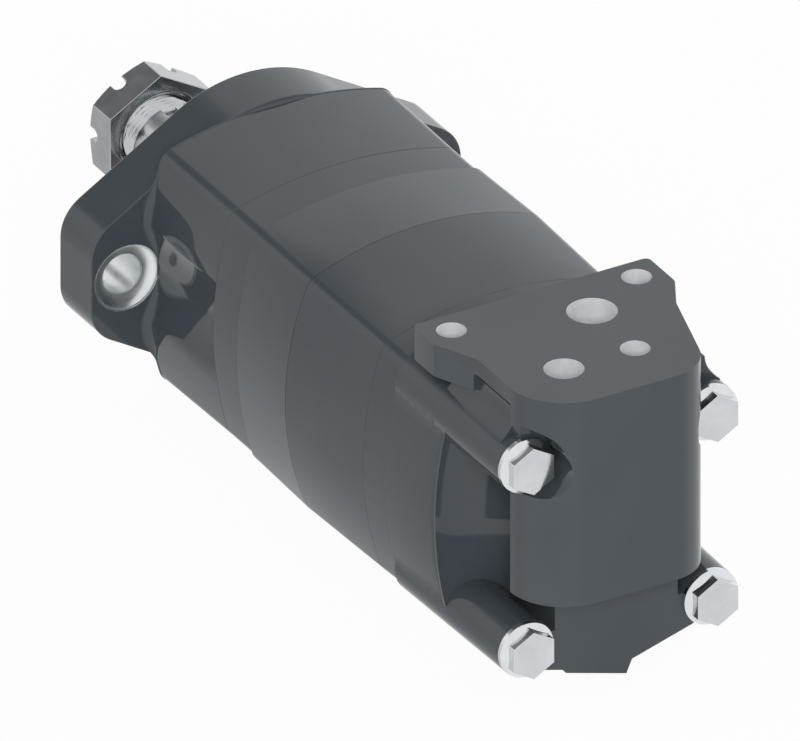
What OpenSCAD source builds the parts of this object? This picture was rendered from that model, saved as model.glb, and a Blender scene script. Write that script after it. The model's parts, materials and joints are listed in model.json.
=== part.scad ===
// Orbital hydraulic motor: two-bolt flange, tapered shaft, rear manifold pad and a rotating disc valve.
// The origin is the centre of the flange's mounting face. The shaft points along +Y, the ports face +Z.
// Every sub-part is drawn along z, the distance behind the mounting face, and then laid along -Y.

/* [Mounting flange] */
// Thickness of the flange
flange_t = 19.4; // [18:0.1:22]
// Radius of the flange between its ears
flange_r = 48; // [47.5:0.1:49]
// Distance between the two flange holes
flange_spacing = 106.4; // [105:0.1:108]
// Diameter of the flange holes
flange_hole_d = 13.6; // [13:0.1:14.5]
// Metal from the centre of a flange hole to the end of its ear
ear_reach = 12.5; // [12:0.1:14]
// Height of the flat at the end of an ear
ear_flat = 17; // [14:0.5:20]
// Corner radius of an ear
ear_corner_r = 14; // [13:0.5:15]
// Radius of the ring machined around a flange hole
spotface_r = 11.4; // [11:0.1:11.9]
// Depth of that ring at the hole
spotface_depth = 3.1; // [1.5:0.1:4]
// Diameter of the pilot
pilot_d = 82.5; // [80:0.1:84]
// Length of the pilot
pilot_h = 6; // [5.5:0.1:6.4]

/* [Body] */
// Half width of the body at the front joint, at the middle of a side
front_joint_half = 46; // [45.6:0.1:47]
// How much wider each side is at the flange
flange_end_more = 0.5; // [0:0.1:1]
// How much wider each side is where the geroler section starts
step_more = 0.7; // [0.2:0.1:1.2]
// How much wider each side is at the ridge behind the geroler
ridge_more = 3.3; // [2:0.1:4]
// How much wider each side is at the joint of channel plate and valve plate
valve_joint_more = 1.4; // [0.5:0.1:2]
// How much wider each side is at the front of the valve housing
rear_more = 1; // [0:0.1:2]
// Radius of the bulging sides at the front
side_r = 132; // [110:1:160]
// Radius of the bulging sides at the ridge
ridge_side_r = 102; // [98:1:120]
// Radius of the bulging sides at the valve housing
rear_side_r = 116; // [105:1:130]
// Corner radius of the body
corner_r = 6; // [4:0.5:8]
// Length of the front housing
front_len = 60.3; // [59:0.1:64]
// Thickness of the wear plate
wear_plate_t = 15.7; // [13:0.1:18]
// Thickness of the geroler ring
geroler_t = 34.2; // [33:0.1:38]
// Thickness of the channel plate
channel_plate_t = 44.6; // [40:0.1:50]
// Thickness of the valve plate
valve_plate_t = 12.3; // [10:0.1:15]
// Length of the valve housing's full section
valve_body_len = 30.4; // [30:0.1:34]
// Radius of the valve body's rear edge
rear_edge_r = 4; // [2:0.5:4.5]
// Length of the bolt bosses behind the full section
boss_len = 31.1; // [30:0.1:34]
// How far the port block stands behind the bolt seats
block_overhang = 14.5; // [12:0.1:16]
// Radius of the hollow that runs along each side of the front housing
recess_r = 49; // [44:0.5:56]
// Half width left between the two hollows
recess_half = 42; // [41.8:0.1:43]

/* [Tie bolts] */
// Distance from the axis to a tie bolt, sideways and upwards
bolt_at = 32.7; // [32.2:0.1:33]
// Diameter of a tie bolt
bolt_d = 9.52; // [8.5:0.01:9.8]
// Width across the flats of its head
bolt_af = 14.29; // [13:0.01:15]
// Height of its head with the flange
bolt_head_h = 6.15; // [5.8:0.05:7]
// Radius of the flange under the head
bolt_flange_r = 9.45; // [9:0.05:9.6]
// Thickness of that flange at its rim
bolt_rim_t = 1.75; // [1.2:0.05:2]
// Length of thread in the front housing
bolt_engage = 20; // [14:0.5:22]
// Radius of a bolt boss at its seat
boss_seat_r = 9.5; // [9.4:0.05:9.8]
// Radius of a bolt boss at the front of the valve housing
boss_root_r = 10.5; // [10:0.05:10.8]
// Radius of the pocket around an upper bolt head
head_pocket_r = 9.8; // [9.7:0.1:11]

/* [Port block and pad] */
// Height of the pad's top face above the axis
pad_top = 57.9; // [57:0.1:60]
// Thickness of the pad's plate
pad_t = 5.7; // [4:0.1:6.5]
// Thickness of the pad's ears
pad_ear_t = 11.4; // [10:0.1:12]
// How far the thick edge of the pad runs on behind the valve body
pad_thick_more = 5; // [3:0.5:6]
// Width of the pad over its two ears
pad_w = 83.8; // [82:0.1:86]
// Half width of the pad behind its ears
pad_waist = 35; // [34:0.1:36]
// Radius of the block's rear corner at the left
nose_left_r = 19.5; // [17:0.5:19.5]
// Radius of the block's rear corner at the right
nose_right_r = 15; // [13:0.5:15]
// Sideways reach of the block's right rear corner
nose_right = 28; // [27:0.1:31]
// Distance of the pad's front edge behind the front of the valve housing
pad_back = 8.4; // [7.5:0.1:9]
// Half width of the neck between the valve body and the block
neck_half = 21.8; // [21:0.1:24]
// Length of the block at its left side
block_len = 19.2; // [17:0.1:20.5]
// Distance of the block's bottom below the axis
block_bottom = 14.6; // [13.5:0.1:16]
// Diameter of the tapped holes in the pad
pad_hole_d = 9.52; // [8.8:0.01:10]
// Depth of the tapped holes
pad_hole_depth = 11; // [9:0.1:11.3]
// Half the distance between the two front tapped holes
pad_hole_x = 32.9; // [32.5:0.1:33.5]
// Distance of the front tapped holes behind the pad's front edge
pad_hole_back = 8.6; // [8:0.1:9.2]
// Sideways place of the rear tapped hole and the large port
rear_hole_x = 10.5; // [10:0.1:12]
// Distance of the rear tapped hole and the small port behind the pad's front edge
rear_hole_back = 46.5; // [45.5:0.1:47.5]
// Diameter of the large port
port_a_d = 16; // [14:0.1:17]
// Distance of the large port behind the pad's front edge
port_a_back = 20; // [19.5:0.1:21]
// Diameter of the small port
port_b_d = 12.7; // [11:0.1:13.5]
// Sideways place of the small port
port_b_x = -14.8; // [-15.2:0.1:-14]
// Depth of the ports' wide mouths
port_mouth = 16; // [12:0.5:18]

/* [Output shaft] */
// Large diameter of the taper
taper_d = 31.75; // [31:0.05:32]
// Distance of the taper's large end in front of the mounting face
taper_start = 13; // [12:0.1:15]
// Length of the taper, which narrows by 1 in 8
taper_len = 32; // [29.5:0.1:34]
// Diameter of the thread
thread_d = 25.4; // [24:0.05:26]
// Length of the threaded end
thread_len = 21.5; // [20:0.1:24]
// Width and height of the key
key_w = 7.94; // [7:0.01:8.5]
// Length of the key
key_len = 20; // [14:0.5:22]
// Distance of the key in front of the taper's large end
key_gap = 3; // [2:0.5:6]
// Width across the flats of the slotted nut
nut_af = 36.3; // [35:0.1:38]
// Height of the slotted nut
nut_h = 12.6; // [12:0.1:13.5]
// Length of thread that stands out of the nut
nut_proud = 2.5; // [1:0.1:4]
// Depth of the countersink in the nut's near face
nut_sink = 2.2; // [1:0.1:2.6]
// Width of the nut's slots
nut_slot_w = 4.4; // [4:0.1:5]
// Depth of the nut's slots
nut_slot_depth = 4.6; // [4:0.1:5]
// Diameter of the shaft under the seals
seal_d = 32.4; // [32.1:0.1:33]
// Diameter of the shaft in its bearings
journal_d = 35; // [34:0.1:36]
// Outer diameter of the bearings
bearing_od = 62; // [61:0.1:63]
// Width of a bearing
bearing_w = 18; // [17.5:0.1:18.5]
// Width of the shaft's collar between the bearings
collar_w = 7; // [5:0.1:7.2]

/* [Geroler] */
// Radius of the circle of roller centres
roller_circle_r = 31.5; // [31:0.05:32]
// Radius of a roller
roller_r = 6.35; // [6.1:0.05:6.5]
// Offset of the rotor's centre from the motor's axis
orbit_e = 3; // [2.7:0.05:3.1]
// Radial gap between rotor and rollers
rotor_gap = 0.08; // [0.05:0.01:0.1]
// Gap between a roller and its pocket
pocket_gap = 0.03; // [0.02:0.01:0.06]
// Gap at each end face of the rotor and rollers
end_gap = 0.05; // [0.03:0.01:0.1]

/* [Drives and valve] */
// Number of teeth of the splines
spline_n = 12; // [10:1:13]
// Pitch radius of the main splines
spline_r = 11; // [10.6:0.1:11.2]
// Pitch radius of the splines in the disc valve
valve_spline_r = 8.4; // [8:0.1:9]
// Side clearance of the splines
spline_gap = 0.42; // [0.38:0.01:0.46]
// Radius of the disc valve
disc_r = 30; // [29.5:0.1:31]
// Thickness of the disc valve
disc_t = 17.9; // [16:0.1:18]
// Outer radius of the balance ring's hub
balance_r = 19.95; // [18:0.05:20.2]

/* [Fits] */
// Radial gap between a part and the bore that it is turned to fit
fit = 0.05; // [0.02:0.01:0.08]
// Radial clearance of the tie bolts in the sections
bolt_clear = 0.4; // [0.2:0.05:0.5]

/* [Hidden] */
$fn = 96;
eps = 0.5;

cast_grey = "#63676b";
steel = "#b9bdc1";
dark_steel = "#8d9195";
rubber_black = "#26282a";
bronze = "#a58b54";

// Stations along the motor, from the front to the back
z_front_joint = front_len;
z_geroler = z_front_joint + wear_plate_t;
z_ridge = z_geroler + geroler_t;
z_valve_joint = z_ridge + channel_plate_t;
z_valve = z_valve_joint + valve_plate_t;
z_body_end = z_valve + valve_body_len;
z_seat = z_body_end + boss_len;
z_rear = z_seat + block_overhang;
z_block = z_rear - block_len;

// Half widths of the body at those stations
flange_end_half = front_joint_half + flange_end_more;
step_half = front_joint_half + step_more;
ridge_half = front_joint_half + ridge_more;
valve_joint_half = front_joint_half + valve_joint_more;
rear_half = front_joint_half + rear_more;
rear_draft = 1;

// Stations of the pad
z_pad = z_valve + pad_back;
z_pad_hole = z_pad + pad_hole_back;
z_port_a = z_pad + port_a_back;
z_rear_hole = z_pad + rear_hole_back;

// Places of the seals and bearings inside the front housing
seal_bore_r = seal_d / 2 + 6.8;
z_shaft_seal = 1.5;
shaft_seal_w = 8;
dust_bore_r = seal_d / 2 + 4.8;
dust_seal_w = 4.6;
dust_back = 1;
snap_t = 1.5;
z_snap = z_shaft_seal + shaft_seal_w + 0.3;
z_front_bearing = z_snap + snap_t + 1.7;
z_collar = z_front_bearing + bearing_w;
z_rear_bearing = z_collar + collar_w;
z_bearing_end = z_rear_bearing + bearing_w;
shaft_end = z_bearing_end + 1.5;
spigot_gap = 0.1;

// Splines of the drives; the link leans from the motor's axis to the rotor's centre
z_link_front = z_collar + collar_w / 2 + 3;
spline_half = 5;
z_link_rear = z_geroler + 14;
link_len = z_link_rear - z_link_front;
link_lean = atan(orbit_e / link_len);
spacer_t = 2;
z_spacer = z_link_rear + 7;
nub_gap = 0.5;
nub_r = 4;
valve_spline_half = 3.5;
z_drive_front = z_spacer + spacer_t + nub_gap + 2 + valve_spline_half;
z_disc = z_valve + end_gap;
z_drive_rear = z_disc + disc_t / 2 + 1;
drive_len = z_drive_rear - z_drive_front;
drive_lean = atan(orbit_e / drive_len);
neck_r = 7;
link_bore_r = 15;
drive_bore_r = 13;

// Geroler and its ports
roller_n = 7;
lobe_n = roller_n - 1;
ring_bore_r = roller_circle_r + 0.6;
chamber_port_at = 26.8;
chamber_port_r = 3;

// Cavities of the valve housing
cavity_r = disc_r + 2;
balance_bore_r = balance_r + fit;
z_balance = z_disc + disc_t + end_gap;
balance_flange_t = 2.5;
balance_hub_len = 6;
z_cavity_end = z_balance + balance_flange_t + 0.4;
spring_h = 2.3;
z_spring = z_balance + balance_flange_t + balance_hub_len;
z_balance_bore_end = z_spring + spring_h + 0.2;
inner_chamber_r = 13;
z_inner_end = z_rear_hole + 4.5;
spring_t = 0.8;
through_r = 12;

// The upper bolt pockets run out towards the block's corners, to let a socket in
pocket_out = 1.8;
pocket_up = 4.3;

// Web under the pad's ears
ear_web = 35.2;
ear_web_len = z_pad_hole - z_pad + 5.4;

// Flat land at the bottom and at the rim of the bowl around a flange hole
spot_land = 1;

// How much less than half its height the key sinks into the taper's small end
key_up = 0.9;
key_base = taper_r(taper_len) - key_w / 2 + key_up;

// Joint seals
oring_r = 39.2;
oring_d = 1.5;
groove_depth = 1.4;

// Bearing geometry: all raceway and roller cones share one apex
pitch_r = (journal_d + bearing_od) / 4;
pitch_lean = 14;
apex = pitch_r / tan(pitch_lean);
bearing_roller_r = 3.2;
bearing_roller_half = 6.2;
bearing_roller_n = 17;
bearing_gap = 0.02;
roller_lean = asin(bearing_roller_r / (pitch_r / sin(pitch_lean)));
cage_t = 0.9;
cup_short = 2.5;
rib_rise = 1.2;
rib_at = bearing_roller_half + 1.1;
big_rib_at = bearing_roller_half + 0.9;
big_rib_r = pitch_r + 0.35;

// Lays a part that was drawn along z down along -Y, with its y upwards
module laid() {
    rotate([90, 0, 0]) children();
}

// Copies to the four tie bolts
module at_bolts() {
    for (sx = [-1, 1], sy = [-1, 1]) translate([sx * bolt_at, sy * bolt_at, 0]) children();
}

// A round bar or disc from z0 to z1
module slab(r, z0, z1) {
    translate([0, 0, z0]) cylinder(r = r, h = z1 - z0);
}

// Where the centre of a corner arc lies on the diagonal, for a side at half width h with radius r
function corner_centre(h, r) = let (o = r - h, d = r - corner_r) (sqrt(2 * d * d - o * o) - o) / 2;

// Angle of the normal where a side runs into its corner
function corner_angle(h, r) = asin(corner_centre(h, r) / (r - corner_r));

// One quarter of the body's outline: half a side, a corner and half a side
function quarter(h, r, turn) = let (a = corner_angle(h, r), c = corner_centre(h, r), n_side = 7, n_corner = 6)
    [for (p = concat(
        [for (i = [0 : n_side]) let (t = a * i / n_side) [r * cos(t) - (r - h), r * sin(t)]],
        [for (i = [1 : n_corner - 1]) let (t = a + (90 - 2 * a) * i / n_corner)
            [c + corner_r * cos(t), c + corner_r * sin(t)]],
        [for (i = [n_side : -1 : 1]) let (t = a * i / n_side) [r * sin(t), r * cos(t) - (r - h)]]))
        [p[0] * cos(turn) - p[1] * sin(turn), p[0] * sin(turn) + p[1] * cos(turn)]];

// The body's outline: a square with bulging sides and rounded corners
module section(h, r) {
    polygon([for (turn = [0 : 90 : 270]) each quarter(h, r, turn)]);
}

// A straight length of the body between two outlines
module barrel(z0, h0, r0, z1, h1, r1) {
    skin = 0.01;
    hull() {
        translate([0, 0, z0]) linear_extrude(skin) section(h0, r0);
        translate([0, 0, z1 - skin]) linear_extrude(skin) section(h1, r1);
    }
}

// The same with a rounded rear edge
module rounded_barrel(z0, h0, z1, h1, r, edge_r) {
    skin = 0.01;
    steps = 5;
    hull() {
        translate([0, 0, z0]) linear_extrude(skin) section(h0, r);
        for (i = [0 : steps]) let (t = 90 * i / steps, in = edge_r * (1 - cos(t)))
            translate([0, 0, z1 - skin - edge_r * (1 - sin(t))]) linear_extrude(skin) section(h1 - in, r - in);
    }
}

// Tangent points of a belt around circles [x, y, r], listed counter-clockwise
function belt_points(cs) = [for (i = [0 : len(cs) - 1])
    let (p = cs[i], q = cs[(i + 1) % len(cs)], dx = q[0] - p[0], dy = q[1] - p[1],
        a = atan2(dy, dx) - acos((p[2] - q[2]) / norm([dx, dy])), n = [cos(a), sin(a)])
    each [[p[0] + p[2] * n[0], p[1] + p[2] * n[1]], [q[0] + q[2] * n[0], q[1] + q[2] * n[1]]]];

// The outline that a belt around those circles would have
module belt(cs) {
    polygon(belt_points(cs));
    for (c = cs) translate([c[0], c[1]]) circle(c[2]);
}

// Clearance holes for the four tie bolts
module bolt_holes(z0, z1) {
    at_bolts() slab(bolt_d / 2 + bolt_clear, z0 - eps, z1 + eps);
}

// Groove for a joint seal, cut into a rear face at z
module seal_groove(z) {
    translate([0, 0, z - groove_depth]) difference() {
        cylinder(r = oring_r + oring_d / 2 + fit, h = groove_depth + eps);
        translate([0, 0, -eps]) cylinder(r = oring_r - oring_d / 2 - fit, h = groove_depth + 3 * eps);
    }
}

// Outline of a spline: one trapezoid tooth per pitch, with clearance side by side
module spline_2d(r, tip, root, side) {
    pitch = 360 / spline_n;
    slope = 2.6;
    polygon([for (i = [0 : spline_n - 1]) let (a = i * pitch, half = pitch / 4 + side) each [
        [root * cos(a - half - slope), root * sin(a - half - slope)],
        [tip * cos(a - half + slope), tip * sin(a - half + slope)],
        [tip * cos(a + half - slope), tip * sin(a + half - slope)],
        [root * cos(a + half + slope), root * sin(a + half + slope)]]]);
}

// Half of the side clearance, as an angle at the pitch radius
function side_angle(r) = spline_gap / 2 / r * 180 / PI;

// Outside spline of a drive
module outer_spline(r, half) {
    translate([0, 0, -half]) linear_extrude(2 * half) spline_2d(r, r + 1.0, r - 1.1, -side_angle(r));
}

// Inside spline, as the shape to cut away
module inner_spline(r, z0, z1) {
    translate([0, 0, z0]) linear_extrude(z1 - z0) spline_2d(r, r + 1.6, r - 0.5, side_angle(r));
}

// Two-bolt flange with its two ears
module flange_2d() {
    c = flange_spacing / 2 + ear_reach - ear_corner_r;
    f = ear_flat / 2;
    belt([[c, -f, ear_corner_r], [c, f, ear_corner_r], [0, 0, flange_r],
        [-c, f, ear_corner_r], [-c, -f, ear_corner_r], [0, 0, flange_r]]);
}

// The machined ring around a flange hole: a shallow bowl that the bolt's washer sits in
module spotface() {
    floor_r = flange_hole_d / 2 + spot_land;
    cone_h = spotface_depth * 0.62;
    translate([0, 0, flange_t - spotface_depth]) {
        cylinder(r = floor_r, h = spotface_depth + eps);
        cylinder(r1 = floor_r, r2 = spotface_r - spot_land, h = cone_h);
        translate([0, 0, cone_h]) cylinder(r = spotface_r, h = front_len);
    }
}

module front_housing() {
    color(cast_grey) laid() difference() {
        union() {
            linear_extrude(flange_t) flange_2d();
            slab(pilot_d / 2, -pilot_h, eps);
            difference() {
                barrel(flange_t - eps, flange_end_half, side_r, z_front_joint, front_joint_half, side_r);
                for (sx = [-1, 1])
                    translate([sx * (recess_half + recess_r), 0, flange_t]) cylinder(r = recess_r, h = front_len);
            }
        }
        for (sx = [-1, 1]) translate([sx * flange_spacing / 2, 0, 0]) {
            slab(flange_hole_d / 2, -eps, flange_t + eps);
            spotface();
        }
        slab(dust_bore_r, -pilot_h - eps, -dust_back);
        slab(seal_d / 2 + 1, -pilot_h, z_front_bearing);
        slab(seal_bore_r, z_shaft_seal, z_front_bearing + eps);
        slab(seal_bore_r + 1.4, z_snap, z_snap + snap_t + 0.1);
        slab(bearing_od / 2 + fit, z_front_bearing, z_front_joint + eps);
        at_bolts() slab(bolt_d / 2 + fit, z_front_joint - bolt_engage - 4, z_front_joint + eps);
        seal_groove(z_front_joint);
    }
}

module wear_plate() {
    color(cast_grey) laid() difference() {
        union() {
            linear_extrude_section(z_front_joint, z_geroler, front_joint_half, side_r);
            slab(bearing_od / 2 - fit, z_bearing_end + spigot_gap, z_front_joint + eps);
        }
        slab(bearing_od / 2 - 5, z_bearing_end - eps, z_front_joint + 2);
        slab(link_bore_r, z_bearing_end - eps, z_geroler + eps);
        bolt_holes(z_front_joint, z_geroler);
        seal_groove(z_geroler);
    }
}

// A length of the body with one outline
module linear_extrude_section(z0, z1, h, r) {
    translate([0, 0, z0]) linear_extrude(z1 - z0) section(h, r);
}

// Centre of roller i
function roller_at(i) = [roller_circle_r * cos(i * 360 / roller_n), roller_circle_r * sin(i * 360 / roller_n)];

module geroler_ring() {
    color(dark_steel) laid() difference() {
        barrel(z_geroler, step_half, side_r, z_ridge, ridge_half, ridge_side_r);
        slab(ring_bore_r, z_geroler - eps, z_ridge + eps);
        for (i = [0 : roller_n - 1]) translate(roller_at(i)) slab(roller_r + pocket_gap, z_geroler - eps, z_ridge + eps);
        bolt_holes(z_geroler, z_ridge);
        seal_groove(z_ridge);
    }
}

// Passages from the chambers between the rollers towards the valve
module chamber_ports(z0, z1) {
    for (i = [0 : roller_n - 1]) rotate((i + 0.5) * 360 / roller_n)
        translate([chamber_port_at, 0, 0]) slab(chamber_port_r, z0 - eps, z1 + eps);
}

module channel_plate() {
    color(cast_grey) laid() difference() {
        barrel(z_ridge, ridge_half, ridge_side_r, z_valve_joint, valve_joint_half, rear_side_r);
        slab(drive_bore_r, z_ridge - eps, z_valve_joint + eps);
        chamber_ports(z_ridge, z_valve_joint);
        bolt_holes(z_ridge, z_valve_joint);
        seal_groove(z_valve_joint);
    }
}

module valve_plate() {
    color(cast_grey) laid() difference() {
        barrel(z_valve_joint, valve_joint_half, rear_side_r, z_valve, rear_half, rear_side_r);
        slab(drive_bore_r, z_valve_joint - eps, z_valve + eps);
        chamber_ports(z_valve_joint, z_valve);
        bolt_holes(z_valve_joint, z_valve);
        seal_groove(z_valve);
    }
}

// Pad outline seen from above, in x and the distance behind the mounting face
module pad_2d() {
    e = pad_w / 2;
    z_left_ear = z_pad_hole + 4;
    z_right_ear = z_pad_hole + 7;
    z_waist = z_pad_hole + 19;
    belt([[-e + 2, z_pad + 2, 2], [e - 2, z_pad + 2, 2], [e - 4, z_right_ear, 4],
        [pad_waist - 2.4, z_waist, 3], [3 - pad_waist, z_waist, 3], [4 - e, z_left_ear, 4]]);
    belt([[3 - pad_waist, z_waist, 3], [pad_waist - 2.4, z_waist, 3],
        [nose_right - nose_right_r, z_rear - nose_right_r, nose_right_r],
        [nose_left_r - pad_waist, z_rear - nose_left_r, nose_left_r]]);
}

// A straight-sided block with that outline, from height y0 to y1
module pad_block(y0, y1) {
    translate([0, y0, 0]) rotate([-90, 0, 0]) mirror([0, 1, 0]) linear_extrude(y1 - y0) pad_2d();
}

// A hole down from the pad's top face
module pad_hole(x, z, r, depth) {
    translate([x, pad_top - depth, z]) rotate([-90, 0, 0]) cylinder(r = r, h = depth + eps);
}

module valve_housing() {
    color(cast_grey) laid() difference() {
        union() {
            rounded_barrel(z_valve, rear_half, z_body_end, rear_half - rear_draft, rear_side_r, rear_edge_r);
            at_bolts() translate([0, 0, z_valve]) cylinder(r1 = boss_root_r, r2 = boss_seat_r, h = z_seat - z_valve);
            pad_block(pad_top - pad_t, pad_top);
            intersection() {
                pad_block(pad_top - pad_ear_t - 1, pad_top);
                translate([-pad_w, pad_top - pad_ear_t, z_pad - 1])
                    cube([2 * pad_w, 2 * pad_ear_t, z_body_end + pad_thick_more - z_pad + 1]);
            }
            translate([-ear_web, bolt_at, z_pad + 2]) cube([2 * ear_web, pad_top - bolt_at - 1, ear_web_len]);
            intersection() {
                pad_block(-block_bottom, pad_top);
                translate([-pad_w, -pad_w, z_block]) cube([2 * pad_w, 2 * pad_w, block_len + 1]);
            }
            translate([-neck_half, -block_bottom, z_body_end - 1])
                cube([2 * neck_half, block_bottom + pad_top - 1, z_block - z_body_end + 2]);
            translate([-neck_half, bolt_at, z_pad + 3])
                cube([2 * neck_half, pad_top - bolt_at - 1, z_block - z_pad - 2]);
            lower_plate();
        }
        for (sx = [-1, 1], out = [0, 1])
            translate([sx * (bolt_at + out * pocket_out), bolt_at + out * pocket_up, 0])
                slab(head_pocket_r, z_seat, z_rear + 5);
        bolt_holes(z_valve, z_seat);
        slab(cavity_r, z_valve - eps, z_cavity_end);
        slab(balance_bore_r, z_valve, z_balance_bore_end);
        slab(inner_chamber_r, z_valve, z_inner_end);
        for (sx = [-1, 1]) pad_hole(sx * pad_hole_x, z_pad_hole, pad_hole_d / 2, pad_hole_depth);
        pad_hole(rear_hole_x, z_rear_hole, pad_hole_d / 2, pad_hole_depth);
        pad_hole(rear_hole_x, z_port_a, port_a_d / 2, port_mouth);
        pad_hole(rear_hole_x, z_port_a, port_a_d / 2 - 2, pad_top - 25);
        translate([rear_hole_x, 25.6, 0]) slab(5.4, z_cavity_end - 2, z_port_a + 3);
        pad_hole(port_b_x, z_rear_hole, port_b_d / 2, port_mouth);
        pad_hole(port_b_x, z_rear_hole, port_b_d / 2 - 1.9, pad_top);
    }
}

// The web between the two lower bolt bosses: a V underneath, with a square foot at its left
module lower_plate() {
    foot_x = 17.9;
    keel = [3.6, 52.3];
    top = 3 - bolt_at;
    translate([0, 0, z_body_end - 1]) linear_extrude(z_seat - z_body_end + 1) polygon([
        [-bolt_at, -bolt_at - 8], [-foot_x - 3.9, 8.5 - keel[1]], [-foot_x, 7.4 - keel[1]],
        [-foot_x, 6.3 - keel[1]], [keel[0], -keel[1]], [keel[0] + 2, 4.6 - keel[1]],
        [bolt_at - 5.8, -bolt_at - 8.8], [bolt_at, -bolt_at - 6], [bolt_at, top], [neck_half, top],
        [neck_half, 1 - block_bottom], [-neck_half, 1 - block_bottom], [-neck_half, top], [-bolt_at, top]]);
}

// Flanged hex bolts, all four alike
module tie_bolts() {
    head_cone = 0.577;
    cone_h = 3;
    color(steel) laid() at_bolts() {
        slab(bolt_d / 2, z_front_joint - bolt_engage, z_seat + eps);
        slab(bolt_flange_r, z_seat, z_seat + bolt_rim_t);
        translate([0, 0, z_seat + bolt_rim_t])
            cylinder(r1 = bolt_flange_r, r2 = bolt_flange_r - cone_h / head_cone, h = cone_h);
        translate([0, 0, z_seat]) rotate(30) cylinder(r = bolt_af / 2 / cos(30), h = bolt_head_h, $fn = 6);
    }
}

// Round section seals in the grooves of the body's joints
module body_seals() {
    color(rubber_black) laid() for (z = [z_front_joint, z_geroler, z_ridge, z_valve_joint, z_valve])
        translate([0, 0, z - oring_d / 2 - 0.02]) intersection() {
            rotate_extrude() translate([oring_r, 0]) circle(oring_d / 2, $fn = 24);
            translate([0, 0, -groove_depth + oring_d / 2 + 0.03]) cylinder(r = oring_r + oring_d, h = oring_d);
        }
}

// Lip seal from z0 to z1 in a bore of radius r
module lip_seal(z0, z1, r) {
    lip = seal_d / 2 + fit;
    translate([0, 0, z0]) rotate_extrude() polygon([[lip + 3, 0], [r - fit, 0], [r - fit, z1 - z0],
        [r - 2, z1 - z0], [r - 2, 1.4], [lip + 1.6, 1.4], [lip + 1, 4], [lip, 3.4], [lip + 1.2, 1.4]]);
}

module dust_seal() {
    color(rubber_black) laid() translate([0, 0, -dust_back - fit]) mirror([0, 0, 1]) lip_seal(0, dust_seal_w, dust_bore_r);
}

module shaft_seal() {
    color(rubber_black) laid() lip_seal(z_shaft_seal + fit, z_shaft_seal + shaft_seal_w, seal_bore_r);
}

// Snap ring behind the shaft seal, open at the top
module seal_snap_ring() {
    color(dark_steel) laid() difference() {
        slab(seal_bore_r + 1.2, z_snap + fit, z_snap + snap_t);
        slab(seal_bore_r - 2, z_snap - eps, z_snap + snap_t + eps);
        translate([-4, 0, z_snap - eps]) cube([8, seal_bore_r + 5, snap_t + 2 * eps]);
    }
}

// Radius of a raceway cone at u along the bearing, for a cone of angle a
function race_r(u, a) = (apex + u) * tan(a);

// Outer ring of a tapered roller bearing, its small end at u = -bearing_w / 2
module cup() {
    h = bearing_w / 2;
    a = pitch_lean + roller_lean;
    rotate_extrude() polygon([[race_r(-h, a), -h], [bearing_od / 2, -h], [bearing_od / 2, h - cup_short],
        [race_r(h - cup_short, a), h - cup_short]]);
}

// Inner ring with a rib at each end of the rollers
module cone() {
    h = bearing_w / 2;
    a = pitch_lean - roller_lean;
    small_rib_r = race_r(-h, a) + rib_rise;
    rotate_extrude() polygon([[journal_d / 2 + fit, -h], [small_rib_r, -h], [small_rib_r, -rib_at],
        [race_r(-rib_at, a), -rib_at], [race_r(big_rib_at, a), big_rib_at], [big_rib_r, big_rib_at],
        [big_rib_r, h], [journal_d / 2 + fit, h]]);
}

// The row of tapered rollers, grown by a gap
module roller_row(grow, longer) {
    s = pitch_r / sin(pitch_lean);
    lean = atan(bearing_roller_r / s);
    for (i = [0 : bearing_roller_n - 1]) rotate(i * 360 / bearing_roller_n)
        translate([0, 0, -apex]) rotate([0, pitch_lean, 0]) translate([0, 0, s - bearing_roller_half - longer])
            cylinder(r1 = (s - bearing_roller_half) * tan(roller_lean) + grow,
                r2 = (s + bearing_roller_half) * tan(roller_lean) + grow, h = 2 * (bearing_roller_half + longer), $fn = 32);
}

// Pressed sheet cage, a cone with a window for each roller
module cage() {
    half = bearing_roller_half + 1.4;
    run = half * sin(pitch_lean);
    rise = half * cos(pitch_lean);
    difference() {
        rotate_extrude() polygon([[pitch_r - run - cage_t / 2, -rise], [pitch_r - run + cage_t / 2, -rise],
            [pitch_r + run + cage_t / 2, rise], [pitch_r + run - cage_t / 2, rise]]);
        roller_row(0.2, 0.2);
    }
}

// Puts a bearing's parts at the front bearing, or turned about at the rear one
module at_bearing(front) {
    z = (front ? z_front_bearing : z_rear_bearing) + bearing_w / 2;
    translate([0, 0, z]) mirror([0, 0, front ? 0 : 1]) children();
}

module front_bearing_cup() { color(steel) laid() at_bearing(true) cup(); }
module front_bearing_cone() { color(steel) laid() at_bearing(true) cone(); }
module front_bearing_rollers() { color(steel) laid() at_bearing(true) roller_row(-bearing_gap, 0); }
module front_bearing_cage() { color(dark_steel) laid() at_bearing(true) cage(); }
module rear_bearing_cup() { color(steel) laid() at_bearing(false) cup(); }
module rear_bearing_cone() { color(steel) laid() at_bearing(false) cone(); }
module rear_bearing_rollers() { color(steel) laid() at_bearing(false) roller_row(-bearing_gap, 0); }
module rear_bearing_cage() { color(dark_steel) laid() at_bearing(false) cage(); }

// Radius of the taper at a distance behind its large end
function taper_r(d) = taper_d / 2 - d / 16;

// Room for the key, open at the small end
module keyway() {
    translate([-key_w / 2 - fit, key_base, -taper_start - taper_len - eps])
        cube([key_w + 2 * fit, taper_d / 2, taper_len - key_gap + eps + fit]);
}

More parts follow.
